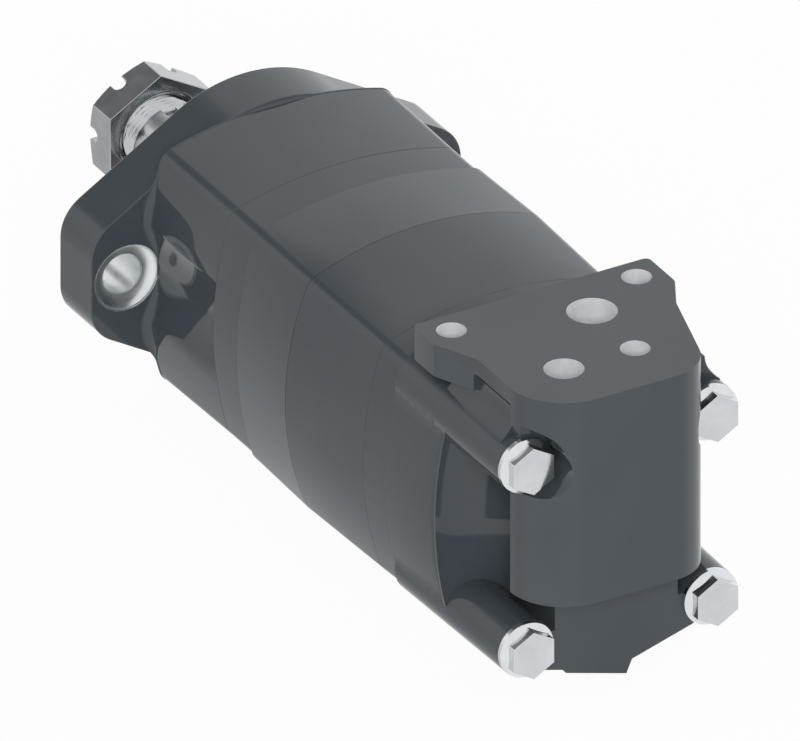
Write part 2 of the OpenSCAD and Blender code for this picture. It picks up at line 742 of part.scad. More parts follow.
module output_shaft() {
    tip = -taper_start - taper_len - thread_len;
    color(steel) laid() difference() {
        rotate_extrude() polygon([[0, tip], [thread_d / 2 - 1.5, tip], [thread_d / 2, tip + 1.5],
            [thread_d / 2, tip + thread_len], [taper_r(taper_len), tip + thread_len], [taper_r(0), -taper_start],
            [seal_d / 2, -taper_start], [seal_d / 2, z_front_bearing], [journal_d / 2, z_front_bearing],
            [journal_d / 2, z_collar], [journal_d / 2 + 3.5, z_collar], [journal_d / 2 + 3.5, z_rear_bearing],
            [journal_d / 2, z_rear_bearing], [journal_d / 2, shaft_end - 1], [journal_d / 2 - 1, shaft_end],
            [0, shaft_end]]);
        keyway();
        inner_spline(spline_r, z_link_front - spline_half - 3, shaft_end + eps);
        slab(spline_r + 2, z_link_front + spline_half + 3, shaft_end + eps);
        slab(spline_r + 2, z_link_front - spline_half - 5, z_link_front - spline_half - 2);
    }
}

module shaft_key() {
    color(dark_steel) laid() translate([-key_w / 2, key_base, -taper_start - key_gap - key_len])
        cube([key_w, key_w, key_len]);
}

// Castellated nut: slots across its far end, a chamfer there and a countersunk near face
module slotted_nut() {
    far = nut_proud - taper_start - taper_len - thread_len;
    near = far + nut_h;
    af = nut_af / 2;
    nut_edge = 0.2;
    nut_slope = 1.6;
    color(steel) laid() difference() {
        intersection() {
            translate([0, 0, far]) rotate(30) cylinder(r = af / cos(30), h = nut_h, $fn = 6);
            translate([0, 0, far]) cylinder(r1 = af - nut_edge, r2 = af - nut_edge + nut_h * nut_slope, h = nut_h);
        }
        slab(thread_d / 2 + fit, far - eps, near + eps);
        translate([0, 0, near - nut_sink])
            cylinder(r1 = thread_d / 2, r2 = thread_d / 2 + nut_sink + eps, h = nut_sink + eps);
        for (i = [0 : 2]) rotate(i * 60) {
            translate([-nut_af, -nut_slot_w / 2, far - eps])
                cube([2 * nut_af, nut_slot_w, nut_slot_depth - nut_slot_w / 2 + eps]);
            translate([-nut_af, 0, far + nut_slot_depth - nut_slot_w / 2]) rotate([0, 90, 0])
                cylinder(d = nut_slot_w, h = 2 * nut_af);
        }
    }
}

// Leaning shaft that carries the rotor's turning to the output shaft
module drive_link() {
    rear = link_len;
    color(dark_steel) laid() translate([0, 0, z_link_front]) rotate([0, link_lean, 0]) {
        outer_spline(spline_r, spline_half);
        translate([0, 0, rear]) outer_spline(spline_r, spline_half);
        slab(neck_r + 1.2, 0, rear);
        slab(nub_r, 0, rear + z_spacer - z_link_rear - nub_gap);
        translate([0, 0, spline_half]) cylinder(r1 = spline_r - 1.1, r2 = neck_r + 1.2, h = 3);
        translate([0, 0, rear - spline_half - 3]) cylinder(r1 = neck_r + 1.2, r2 = spline_r - 1.1, h = 3);
    }
}

// The path of a roller's centre, seen from the rotor, and its outward normal
function path(t) = [roller_circle_r * cos(t) - orbit_e * cos(roller_n * t),
    roller_circle_r * sin(t) - orbit_e * sin(roller_n * t)];
function path_normal(t) = let (dx = -roller_circle_r * sin(t) + roller_n * orbit_e * sin(roller_n * t),
    dy = roller_circle_r * cos(t) - roller_n * orbit_e * cos(roller_n * t), l = norm([dx, dy])) [dy / l, -dx / l];

// The rotor's outline stays a roller's radius inside that path
module rotor_2d() {
    steps = 216;
    inset = roller_r + rotor_gap;
    polygon([for (i = [0 : steps - 1]) let (t = i * 360 / steps) path(t) - inset * path_normal(t)]);
}

module rotor() {
    color(steel) laid() translate([orbit_e, 0, 0]) difference() {
        translate([0, 0, z_geroler + end_gap]) linear_extrude(geroler_t - 2 * end_gap) rotor_2d();
        inner_spline(spline_r, z_geroler - eps, z_ridge + eps);
    }
}

// Roller number i of the geroler, counted from +X
module geroler_roller(i) {
    color(steel) laid() translate(roller_at(i - 1)) slab(roller_r, z_geroler + end_gap, z_ridge - end_gap);
}

// Disc between the two drives, at the rotor's centre
module drive_spacer() {
    color(dark_steel) laid() translate([orbit_e, 0, 0]) slab(8.5, z_spacer, z_spacer + spacer_t);
}

// Leaning shaft that turns the disc valve with the rotor
module valve_drive() {
    nose = z_drive_front - z_spacer - spacer_t - nub_gap;
    color(dark_steel) laid() translate([orbit_e, 0, z_drive_front]) rotate([0, -drive_lean, 0]) {
        outer_spline(spline_r, valve_spline_half);
        slab(nub_r, -nose, 0);
        slab(neck_r - 1.5, 0, drive_len);
        translate([0, 0, drive_len]) outer_spline(valve_spline_r, valve_spline_half);
    }
}

// Rotating valve: slots open by turns to its outer edge and to its middle
module disc_valve() {
    slot_w = 5;
    slot_d = 7;
    color(bronze) laid() difference() {
        slab(disc_r, z_disc, z_disc + disc_t);
        inner_spline(valve_spline_r, z_disc - eps, z_disc + disc_t + eps);
        slab(through_r, z_disc - eps, z_disc + 4);
        for (i = [0 : lobe_n - 1]) rotate(i * 360 / lobe_n) {
            translate([chamber_port_at - chamber_port_r, -slot_w / 2, z_disc - eps]) cube([disc_r, slot_w, slot_d]);
            rotate(180 / lobe_n) translate([16, -slot_w / 2, z_disc - eps])
                cube([chamber_port_at + chamber_port_r - 1.5 - 16, slot_w, slot_d]);
            rotate(180 / lobe_n) translate([17.5, 0, z_disc]) cylinder(r = 2.2, h = disc_t + eps);
        }
    }
}

// Stationary ring that the springs press against the back of the disc valve
module balance_ring() {
    color(bronze) laid() difference() {
        union() {
            slab(balance_r + 4, z_balance, z_balance + balance_flange_t);
            slab(balance_r, z_balance, z_spring);
        }
        slab(through_r + 3, z_balance - eps, z_spring + eps);
        translate([0, 0, z_spring - 4]) difference() {
            cylinder(r = balance_r + 1, h = 2);
            translate([0, 0, -eps]) cylinder(r = balance_r - 1.5, h = 2 + 2 * eps);
        }
    }
}

// Seal ring in the balance ring's groove
module balance_seals() {
    color(rubber_black) laid() translate([0, 0, z_spring - 4 + fit]) difference() {
        cylinder(r = balance_r, h = 2 - 2 * fit);
        translate([0, 0, -eps]) cylinder(r = balance_r - 1.5 + fit, h = 3);
    }
}

// Disc spring behind the balance ring
module balance_spring() {
    color(dark_steel) laid() translate([0, 0, z_spring + 0.1]) rotate_extrude()
        polygon([[balance_r - 0.5, 0], [balance_r - 0.5, spring_t], [inner_chamber_r + 1.4, spring_h],
            [inner_chamber_r + 1.4, spring_h - spring_t]]);
}

front_housing();
wear_plate();
geroler_ring();
channel_plate();
valve_plate();
valve_housing();
tie_bolts();
body_seals();
dust_seal();
shaft_seal();
seal_snap_ring();
front_bearing_cup();
front_bearing_cone();
front_bearing_rollers();
front_bearing_cage();
rear_bearing_cup();
rear_bearing_cone();
rear_bearing_rollers();
rear_bearing_cage();
output_shaft();
shaft_key();
slotted_nut();
drive_link();
rotor();
geroler_roller(1);  // roller_1
geroler_roller(2);  // roller_2
geroler_roller(3);  // roller_3
geroler_roller(4);  // roller_4
geroler_roller(5);  // roller_5
geroler_roller(6);  // roller_6
geroler_roller(7);  // roller_7
drive_spacer();
valve_drive();
disc_valve();
balance_ring();
balance_seals();
balance_spring();
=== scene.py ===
"""Orbital hydraulic motor: the finish of every part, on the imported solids, in metres.

The motor's axis is Y. The mounting face is at y = 0, the shaft points along +Y, the ports face +Z.
"""

import json
import math

import bmesh
import bpy
import numpy as np
from mathutils import Matrix, Vector


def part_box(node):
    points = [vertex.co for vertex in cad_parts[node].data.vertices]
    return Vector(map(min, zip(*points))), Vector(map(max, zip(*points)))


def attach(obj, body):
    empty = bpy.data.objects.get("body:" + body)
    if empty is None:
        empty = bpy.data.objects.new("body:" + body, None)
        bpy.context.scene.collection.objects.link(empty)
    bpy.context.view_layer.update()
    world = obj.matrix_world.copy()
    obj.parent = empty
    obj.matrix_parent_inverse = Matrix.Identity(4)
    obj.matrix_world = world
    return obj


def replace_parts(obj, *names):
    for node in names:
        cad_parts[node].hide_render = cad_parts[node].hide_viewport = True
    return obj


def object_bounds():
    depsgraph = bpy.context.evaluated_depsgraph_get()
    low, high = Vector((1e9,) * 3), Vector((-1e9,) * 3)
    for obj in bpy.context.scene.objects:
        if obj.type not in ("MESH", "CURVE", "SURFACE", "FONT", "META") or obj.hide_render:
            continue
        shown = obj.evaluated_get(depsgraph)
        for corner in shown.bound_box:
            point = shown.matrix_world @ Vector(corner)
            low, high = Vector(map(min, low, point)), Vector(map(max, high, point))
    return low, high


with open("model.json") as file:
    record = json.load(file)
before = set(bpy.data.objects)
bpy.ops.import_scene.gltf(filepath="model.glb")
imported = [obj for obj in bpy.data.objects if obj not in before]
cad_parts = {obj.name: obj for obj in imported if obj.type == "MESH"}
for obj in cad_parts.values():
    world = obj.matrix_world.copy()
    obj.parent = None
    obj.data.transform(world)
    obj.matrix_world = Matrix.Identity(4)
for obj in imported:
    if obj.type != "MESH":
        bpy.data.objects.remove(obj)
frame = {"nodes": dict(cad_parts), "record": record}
cad_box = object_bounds()
nodes = frame["nodes"]
scene = bpy.context.scene
MM = 0.001
TAU = 2 * math.pi

# Camera
# The photograph is a parallel view from behind, 30 degrees up and 30 degrees to the left
TURN = math.radians(30)
RISE = math.radians(30)
VIEW_RIGHT = Vector((math.cos(TURN), -math.sin(TURN), 0))
VIEW_UP = Vector((math.sin(RISE) * math.sin(TURN), math.sin(RISE) * math.cos(TURN), math.cos(RISE)))
VIEW_BACK = VIEW_RIGHT.cross(VIEW_UP)
VIEW_CENTRE = Vector((28.8, -45.6, -43.5)) * MM
VIEW_WIDTH = 0.246154
VIEW_DEPTH = 10

camera_data = bpy.data.cameras.new("camera")
camera_data.type = "ORTHO"
camera_data.ortho_scale = VIEW_WIDTH
camera_data.clip_end = VIEW_DEPTH
camera = bpy.data.objects.new("camera", camera_data)
look = Matrix((VIEW_RIGHT, VIEW_UP, VIEW_BACK)).transposed().to_4x4()
camera.matrix_world = Matrix.Translation(VIEW_CENTRE + VIEW_BACK) @ look
scene.collection.objects.link(camera)
scene.camera = camera
scene.view_settings.view_transform = "Standard"


# Materials
def linear(hex_colour):
    """Turns an sRGB hex colour into linear red, green, blue and alpha."""
    parts = np.array([int(hex_colour[i : i + 2], 16) for i in (1, 3, 5)]) / 255
    parts = np.where(parts <= 0.04045, parts / 12.92, ((parts + 0.055) / 1.055) ** 2.4)
    return (*parts, 1.0)


def dimmed(hex_colour, share):
    """A colour with that share of its light."""
    return (*(share * part for part in linear(hex_colour)[:3]), 1.0)


def add(tree, kind, settings=None, **inputs):
    """Adds a node. settings are its own properties. An input is a value, or an output to link from."""
    node = tree.nodes.new(kind)
    for name, value in (settings or {}).items():
        setattr(node, name, value)
    for name, value in inputs.items():
        key = int(name[1:]) if name[1:].isdigit() else name.replace("_", " ")
        socket = node.inputs[key]
        if isinstance(value, bpy.types.NodeSocket):
            tree.links.new(value, socket)
        else:
            socket.default_value = value
    return node


def ramp(tree, factor, *stops):
    """A colour ramp through (place, linear colour or grey) stops."""
    node = add(tree, "ShaderNodeValToRGB", Fac=factor)
    line = node.color_ramp
    while len(line.elements) < len(stops):
        line.elements.new(0.5)
    for element, (place, colour) in zip(line.elements, stops):
        element.position = place
        element.color = colour if isinstance(colour, tuple) else (colour, colour, colour, 1)
    return node.outputs["Color"]


def new_material(name):
    """An empty material with its shader and output, and the place on the piece as Object coordinates."""
    material = bpy.data.materials.new(name)
    material.use_nodes = True
    tree = material.node_tree
    tree.nodes.clear()
    shader = add(tree, "ShaderNodeBsdfPrincipled")
    add(tree, "ShaderNodeOutputMaterial", Surface=shader.outputs["BSDF"])
    place = add(tree, "ShaderNodeTexCoord").outputs["Object"]
    return material, tree, shader, place


def mottled(tree, place, millimetres, detail):
    """Noise whose blotches are about that many millimetres across."""
    noise = add(tree, "ShaderNodeTexNoise", Vector=place, Scale=1 / (millimetres * MM), Detail=detail)
    return noise.outputs["Fac"]


def set_skin(tree, shader, tint, rough, height, strength, step_mm):
    """Links a colour, a roughness and a bump of at most step_mm to a shader."""
    tree.links.new(tint, shader.inputs["Base Color"])
    tree.links.new(rough, shader.inputs["Roughness"])
    bump = add(tree, "ShaderNodeBump", Strength=strength, Distance=step_mm * MM, Height=height)
    tree.links.new(bump.outputs["Normal"], shader.inputs["Normal"])


def enamel_on_casting(name, hex_low, hex_high):
    """Dark grey enamel on sand-cast iron: the colour is matt, and the gloss on top mirrors the studio.

    The sand's grain and the spray's orange peel show only faintly under the gloss.
    """
    material, tree, shader, place = new_material(name)
    cloud = mottled(tree, place, 34.0, 2.0)
    peel = mottled(tree, place, 1.7, 2.0)
    sand = mottled(tree, place, 0.55, 4.0)
    tint = ramp(tree, cloud, (0.3, linear(hex_low)), (0.7, linear(hex_high)))
    fleck = ramp(tree, sand, (0.42, 0.9), (0.62, 1.0))
    multiply = {"data_type": "RGBA", "blend_type": "MULTIPLY"}
    both = add(tree, "ShaderNodeMix", multiply, _0=0.35, _6=tint, _7=fleck).outputs[2]
    rough = ramp(tree, peel, (0.3, 0.55), (0.7, 0.65))
    set_skin(tree, shader, both, rough, sand, 0.2, 0.1)
    peel_bump = add(tree, "ShaderNodeBump", Strength=0.02, Distance=0.1 * MM, Height=peel)
    tree.links.new(peel_bump.outputs["Normal"], shader.inputs["Coat Normal"])
    shader.inputs["IOR"].default_value = 1.5
    shader.inputs["Specular IOR Level"].default_value = 0.0
    shader.inputs["Coat Weight"].default_value = 1.0
    shader.inputs["Coat Roughness"].default_value = 0.06
    shader.inputs["Coat IOR"].default_value = 1.45
    return material


# A band wave of scale 1 repeats after this many metres
WAVE_STEP = 0.314


def turned_metal(name, hex_colour, roughness, pitch_mm, depth, shine=1.0):
    """Machined metal: fine tool marks around the motor's axis, and spots that handling has dulled.

    shine is the share of it that mirrors like clean metal. The rest is matt, as in a drilled hole; the
    bored iron's matt share also carries painted reflection in its near-white colour.
    """
    material, tree, shader, place = new_material(name)
    marks = add(
        tree,
        "ShaderNodeTexWave",
        {"bands_direction": "Y"},
        Vector=place,
        Scale=WAVE_STEP / (pitch_mm * MM),
        Distortion=0.6,
        Detail=2.0,
        Detail_Scale=2.0,
    ).outputs["Fac"]
    wear = mottled(tree, place, 6.0, 3.0)
    tint = ramp(tree, wear, (0.3, dimmed(hex_colour, 0.86)), (0.7, linear(hex_colour)))
    rough = ramp(tree, wear, (0.3, roughness * 0.85), (0.7, roughness * 1.15))
    set_skin(tree, shader, tint, rough, marks, depth, 0.03)
    shader.inputs["Metallic"].default_value = shine
    return material


def plated_steel(name, hex_colour, roughness):
    """Zinc plate or bluing: a bright skin with a faint crystal mottle from the bath."""
    material, tree, shader, place = new_material(name)
    crystal = mottled(tree, place, 0.9, 3.0)
    cloud = mottled(tree, place, 7.0, 2.0)
    tint = ramp(tree, cloud, (0.3, dimmed(hex_colour, 0.9)), (0.7, linear(hex_colour)))
    rough = ramp(tree, crystal, (0.3, roughness * 0.85), (0.7, roughness * 1.2))
    set_skin(tree, shader, tint, rough, crystal, 0.03, 0.05)
    shader.inputs["Metallic"].default_value = 1.0
    return material


def moulded_nitrile(name, hex_low, hex_high):
    """Nitrile rubber out of a moulding tool: black, matt, with a faint pebble."""
    material, tree, shader, place = new_material(name)
    pebble = mottled(tree, place, 0.4, 3.0)
    tint = ramp(tree, pebble, (0.3, linear(hex_low)), (0.8, linear(hex_high)))
    rough = ramp(tree, pebble, (0.3, 0.62), (0.7, 0.78))
    set_skin(tree, shader, tint, rough, pebble, 0.2, 0.04)
    shader.inputs["IOR"].default_value = 1.52
    return material


# The castings: paint outside, bored iron in the pad's holes, turned iron around the flange's holes. The
# bored iron's near-white, mostly matt colour is painted reflection: it paints in the brightness that the
# hole walls would mirror from the studio.
enamel = enamel_on_casting("enamel_on_cast_iron", "#434a50", "#484f54")
# Painted reflection: near white and mostly matt, so the bores show bright from the lamps in place of the
# white studio that they would mirror.
bore_iron_painted_bright = turned_metal("bored_iron_painted_reflection", "#eef1f2", 0.4, 0.6, 0.1, shine=0.15)
bowl_iron = turned_metal("turned_cast_iron", "#e2e6e8", 0.3, 0.6, 0.06)
# The shaft with its thread and key, the milled nut, and the bolts, which are plated with zinc. The nut's
# steel is the shaft's turned steel made darker, as painted shade.
steel = turned_metal("turned_steel", "#c3c7c9", 0.16, 0.35, 0.06)
# Painted shade: the same steel as the shaft, about a fifth darker, so the nut shows the darker look that
# the light gives it.
shaded_nut_steel = turned_metal("nut_steel_painted_shade", "#b3b6b8", 0.16, 0.35, 0.06)
zinc = plated_steel("clear_zinc_plate", "#e0e4e6", 0.14)
# Inside: drives, rotor and rollers, then the bearings' races and rollers, then their cages, the snap
# ring and the disc spring, then the disc valve and the balance ring, and last the seals
ground = turned_metal("ground_steel", "#a9acb0", 0.22, 0.2, 0.12)
race = turned_metal("bearing_steel", "#c4c6c9", 0.16, 0.15, 0.08)
blued = plated_steel("blued_spring_steel", "#5d6166", 0.34)
bronze = turned_metal("lapped_bronze", "#b08d57", 0.3, 0.3, 0.15)
rubber = moulded_nitrile("moulded_nitrile", "#1d1f21", "#34373a")
CASTING_SKINS = [enamel, bore_iron_painted_bright, bowl_iron]
FINISH = {
    "painted_casting": enamel,
    "zinc_bolts": zinc,
    "machined_steel": steel,
    "bearing_steel": race,
    "ground_steel": ground,
    "spring_steel": blued,
    "bronze": bronze,
    "nitrile_rubber": rubber,
}


# Pieces
CASING = "casing"
# Points nearer than this many metres become one point, and faces that meet at fewer than this many
# degrees become one face
WELD = 2e-6
FLAT_ANGLE = 0.4
# Edges sharper than this many degrees stay sharp, or are rounded where a width is given
SHARP_ANGLE = 32


def merged_copy(node):
    """A copy of a CAD node whose loose triangles are joined, with flat faces made one face each."""
    mesh = nodes[node].data.copy()
    mesh.materials.clear()
    piece = bpy.data.objects.new(node + "_finished", mesh)
    scene.collection.objects.link(piece)
    work = bmesh.new()
    work.from_mesh(mesh)
    bmesh.ops.remove_doubles(work, verts=work.verts, dist=WELD)
    bmesh.ops.dissolve_limit(
        work,
        angle_limit=math.radians(FLAT_ANGLE),
        verts=work.verts,
        edges=work.edges,
        use_dissolve_boundaries=False,
    )
    work.to_mesh(mesh)
    work.free()
    return piece


def finish_edges(piece, width_mm):
    """Rounds the sharp edges if there is a width, and shades the rest smooth."""
    if width_mm:
        bevel = piece.modifiers.new("edge_round", "BEVEL")
        bevel.width = width_mm * MM
        bevel.segments = 2
        bevel.limit_method = "ANGLE"
        bevel.angle_limit = math.radians(SHARP_ANGLE)
        bevel.use_clamp_overlap = False
        bevel.miter_outer = "MITER_SHARP"
    smooth_by_angle(piece, SHARP_ANGLE)
    if width_mm:
        shade = piece.modifiers.new("flat_faces_win", "WEIGHTED_NORMAL")
        shade.mode = "FACE_AREA"
        shade.weight = 50
        shade.keep_sharp = True


def smooth_by_angle(piece, angle):
    """Smooth shading, with the edges over angle kept sharp."""
    work = bmesh.new()
    work.from_mesh(piece.data)
    limit = math.radians(angle)
    for face in work.faces:
        face.smooth = True
    for edge in work.edges:
        edge.smooth = len(edge.link_faces) == 2 and edge.calc_face_angle(0.0) < limit
    work.to_mesh(piece.data)
    work.free()


def dress(node, body, width_mm, materials):
    """A finished copy that stands for a CAD node."""
    piece = merged_copy(node)
    finish_edges(piece, width_mm)
    for material in materials:
        piece.data.materials.append(material)
    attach(piece, body)
    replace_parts(piece, node)
    return piece


def face_reach(piece, measure):
    """The lowest and highest value, over each face's corners, of measure(x, y, z) in millimetres."""
    mesh = piece.data
    spot = np.empty(3 * len(mesh.vertices))
    mesh.vertices.foreach_get("co", spot)
    start = np.empty(len(mesh.polygons), np.int32)
    mesh.polygons.foreach_get("loop_start", start)
    corner = np.empty(len(mesh.loops), np.int32)
    mesh.loops.foreach_get("vertex_index", corner)
    value = measure(*(spot.reshape(-1, 3) / MM).T)[corner]
    return np.minimum.reduceat(value, start), np.maximum.reduceat(value, start)


def paint_faces(piece, mask, index):
    """Gives the faces in mask another of the piece's materials."""
    now = np.zeros(len(piece.data.polygons), np.int32)
    piece.data.polygons.foreach_get("material_index", now)
    now[mask] = index
    piece.data.polygons.foreach_set("material_index", now)


# Sizes in millimetres, as in the solids
FLANGE_BACK = -19.4
FLANGE_R = 48.0
HOLE_AT = 53.2
SPOTFACE_R = 11.4
SPOTFACE_DEPTH = 3.1
HOLE_R = 6.8
EAR_AT = (51.7, 8.5)
EAR_R = 14.0
SIDE_HALF = 46.5
SIDE_R = 132.0
CORNER_R = 6.0
RECESS_AT = 91.0
RECESS_R = 49.0
BODY_END = -197.4
BOSS_AT = 32.7
BOSS_R = 9.9
THREAD_R = 12.7
THREAD_FROM = 45.0
# Holes in the pad's top face: x, y and radius
PAD_HOLES = (
    (32.9, -184.1, 4.76),
    (-32.9, -184.1, 4.76),
    (10.5, -222, 4.76),
    (10.5, -195.5, 8),
    (-14.8, -222, 6.35),
)
# Sizes in millimetres of what only the picture has
ROOT_R = 3.0
ROOT_R_LEAST = 0.15
SADDLE_WALL = 33.5
SADDLE_ROOT = 21.0
SADDLE_TOP = 50.0
SADDLE_REACH = (-190.0, -225.0)
SADDLE_LEAVES = 130
SADDLE_PULL = (3.2, 4.0)
NECK_AT = 21.5
REAR_HALF = 33.0
REAR_DEPTH = 7.6
THREAD_PITCH = 1.81
THREAD_DEPTH = 0.98
THREAD_CHAMFER = 1.2
THREAD_CHAMFER_LONG = 1.5
# The root fillet reaches this far into the metal beside it, and stays this far from the spotface
ROOT_SUNK = 0.4
ROOT_GAP = 0.1
# The bowl's curve ends in a chamfer at the hole: its width, and how far above the spotface's floor it
# starts and ends. The underside lies a little below that floor.
CHAMFER_WIDE = 0.15
CHAMFER_TOP = 0.3
CHAMFER_FOOT = 0.1
BOWL_SUNK = 0.15
# How near a corner has to be to a size to count as being there
NEAR = 0.1
SIDE_NAME = {-1: "left", 1: "right"}


def bare_where_cut(piece, centre, radius, low, high, along, metal):
    """Bare metal on the faces of a round cut: those inside its radius and between two heights.

    along is the number of the cut's axis, and centre its place on the other two.
    """
    first, second = [axis for axis in range(3) if axis != along]
    _, far = face_reach(piece, lambda *spot: np.hypot(spot[first] - centre[0], spot[second] - centre[1]))
    bottom, top = face_reach(piece, lambda *spot: spot[along])
    inside = (far < radius + NEAR) & (bottom > low - NEAR) & (top < high + NEAR)
    paint_faces(piece, inside, CASTING_SKINS.index(metal))


def clear_spotfaces(piece):
    """Takes the stepped rim of the two spotfaces down to their floor, which makes room for the bowls."""
    mesh = piece.data
    spot = np.empty(3 * len(mesh.vertices))
    mesh.vertices.foreach_get("co", spot)
    x, y, z = (spot.reshape(-1, 3) / MM).T
    reach = np.hypot(np.abs(x) - HOLE_AT, z)
    floor_y = FLANGE_BACK + SPOTFACE_DEPTH
    beside_hole = HOLE_R + 0.5
    below_rim = FLANGE_BACK + 0.3
    on_step = (reach > beside_hole) & (reach < SPOTFACE_R + NEAR) & (y > below_rim) & (y < floor_y)
    spot.reshape(-1, 3)[on_step, 1] = floor_y * MM
    mesh.vertices.foreach_set("co", spot)
    mesh.update()


# Each casting and how wide its edges are rounded. A rounding leaves lines on the valve housing, where
# round faces run into flat ones, so that has none.
for node, width_mm in (
    ("front_housing", 0.3),
    ("wear_plate", 0.12),
    ("geroler_ring", 0.12),
    ("channel_plate", 0.12),
    ("valve_plate", 0.12),
    ("valve_housing", 0),
):
    piece = dress(node, CASING, width_mm, CASTING_SKINS)
    if node == "front_housing":
        clear_spotfaces(piece)
        for side in (-1, 1):
            bare_where_cut(piece, (side * HOLE_AT, 0), SPOTFACE_R, FLANGE_BACK, 0, 1, bowl_iron)
    if node == "valve_housing":
        for x, y, r in PAD_HOLES:
            bare_where_cut(piece, (x, y), r, 0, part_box(node)[1].z / MM, 2, bore_iron_painted_bright)

dress("tie_bolts", CASING, 0.12, [zinc])
dress("slotted_nut", "shaft", 0.25, [shaded_nut_steel])


def grid_piece(name, rings, material, body, closed_path=False, smooth_angle=40):
    """A solid from rings of points, an array of rings by points by x, y and z, in millimetres.

    Neighbouring rings are joined by quads. The path closes on itself, or flat ends close it.
    """
    count, around, _ = rings.shape
    here = np.arange(count if closed_path else count - 1)[:, None] * around
    ahead = (here + around) % (count * around)
    step = np.arange(around)
    after = (step + 1) % around
    quads = np.stack([here + step, here + after, ahead + after, ahead + step], -1).reshape(-1, 4)
    faces = quads.tolist()
    if not closed_path:
        faces += [step[::-1].tolist(), (step + (count - 1) * around).tolist()]
    mesh = bpy.data.meshes.new(name)
    mesh.from_pydata((rings.reshape(-1, 3) * MM).tolist(), [], faces)
    piece = bpy.data.objects.new(name, mesh)
    scene.collection.objects.link(piece)
    mesh.materials.append(material)
    work = bmesh.new()
    work.from_mesh(mesh)
    bmesh.ops.recalc_face_normals(work, faces=work.faces)
    work.to_mesh(mesh)
    work.free()
    smooth_by_angle(piece, smooth_angle)
    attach(piece, body)
    return piece


def body_outline():
    """The front housing's outline behind the flange, as points in x and z.

    A quarter is half a side of radius SIDE_R, a corner of CORNER_R and half a side. The two hollows,
    of RECESS_R about RECESS_AT, cap how far a point reaches sideways.
    """
    middle = SIDE_R - SIDE_HALF
    reach = SIDE_R - CORNER_R
    corner = (math.sqrt(2 * reach**2 - middle**2) - middle) / 2
    turn = math.asin(corner / reach)
    side = np.linspace(0, turn, 26)[:-1]
    bend = np.linspace(turn, math.pi / 2 - turn, 9)
    first = np.stack([SIDE_R * np.cos(side) - middle, SIDE_R * np.sin(side)], 1)
    second = np.stack([corner + CORNER_R * np.cos(bend), corner + CORNER_R * np.sin(bend)], 1)
    quarter = np.concatenate([first, second, first[:0:-1, ::-1]])
    quarters = [quarter @ np.array([[c, s], [-s, c]]) for c, s in ((1, 0), (0, 1), (-1, 0), (0, -1))]
    points = np.concatenate(quarters)
    wall = RECESS_AT - np.sqrt(RECESS_R**2 - np.minimum(np.abs(points[:, 1]), RECESS_R) ** 2)
    points[:, 0] = np.sign(points[:, 0]) * np.minimum(np.abs(points[:, 0]), wall)
    return points


def root_fillet():
    """The cast fillet where the body grows out of the flange's rear face.

    A quarter hollow is carried around the outline. Its radius is ROOT_R where there is room, and less
    where the flange's rim or the bowl around a bolt hole is near. The room is the least distance along
    the outline's normal to the rim's support lines.
    """
    points = body_outline()
    along = np.roll(points, -1, 0) - np.roll(points, 1, 0)
    out = np.stack([along[:, 1], -along[:, 0]], 1)
    out /= np.linalg.norm(out, axis=1, keepdims=True)
    angle = np.linspace(0, TAU, 361)[:-1]
    looks = np.stack([np.cos(angle), np.sin(angle)], 1)
    ears = [(sx * EAR_AT[0], sz * EAR_AT[1], EAR_R) for sx in (-1, 1) for sz in (-1, 1)]
    discs = np.array(ears + [(0, 0, FLANGE_R)])
    rim = (looks @ discs[:, :2].T + discs[:, 2]).max(1)
    facing = out @ looks.T
    far_off = 99
    room = np.where(facing > 0.05, (rim - points @ looks.T) / np.maximum(facing, 0.05), far_off).min(1)
    bowl = np.hypot(np.abs(points[:, 0]) - HOLE_AT, points[:, 1]) - SPOTFACE_R - ROOT_GAP
    share_of_room = 0.75
    radius = np.clip(np.minimum(share_of_room * room, bowl), ROOT_R_LEAST, ROOT_R)
    radius = np.mean([np.roll(radius, shift) for shift in (-2, -1, 0, 1, 2)], 0)
    radius = np.minimum(radius, np.maximum(bowl, ROOT_R_LEAST))[:, None]
    turn = np.linspace(0, math.pi / 2, 9)
    sunk = np.full_like(radius, -ROOT_SUNK)
    away = np.concatenate([radius * (1 - np.sin(turn)), sunk, sunk, radius], 1)
    back = np.concatenate([radius * (1 - np.cos(turn)), radius, sunk, sunk], 1)
    flat = points[:, None] + away[..., None] * out[:, None]
    rings = np.stack([flat[..., 0], FLANGE_BACK - back, flat[..., 1]], -1)
    return grid_piece("flange_root_fillet", rings, enamel, CASING, True)


def spotface_bowl(side):
    """The turned bowl around a flange hole: a quarter of an ellipse carried around the hole's axis."""
    turn = np.linspace(0, math.pi / 2, 15)
    width = SPOTFACE_R - HOLE_R - CHAMFER_WIDE
    depth = SPOTFACE_DEPTH - CHAMFER_TOP
    foot = SPOTFACE_DEPTH - CHAMFER_FOOT
    under = SPOTFACE_DEPTH + BOWL_SUNK
    reach = np.concatenate([SPOTFACE_R - width * (1 - np.cos(turn)), [HOLE_R, HOLE_R, SPOTFACE_R]])
    sunk = np.concatenate([depth * np.sin(turn), [foot, under, under]])
    angle = np.linspace(0, TAU, 97)[:-1, None]
    across = side * HOLE_AT + reach * np.cos(angle)
    rings = np.stack([across, np.broadcast_to(FLANGE_BACK + sunk, across.shape), reach * np.sin(angle)], -1)
    return grid_piece("spotface_" + SIDE_NAME[side], rings, bowl_iron, CASING, True)


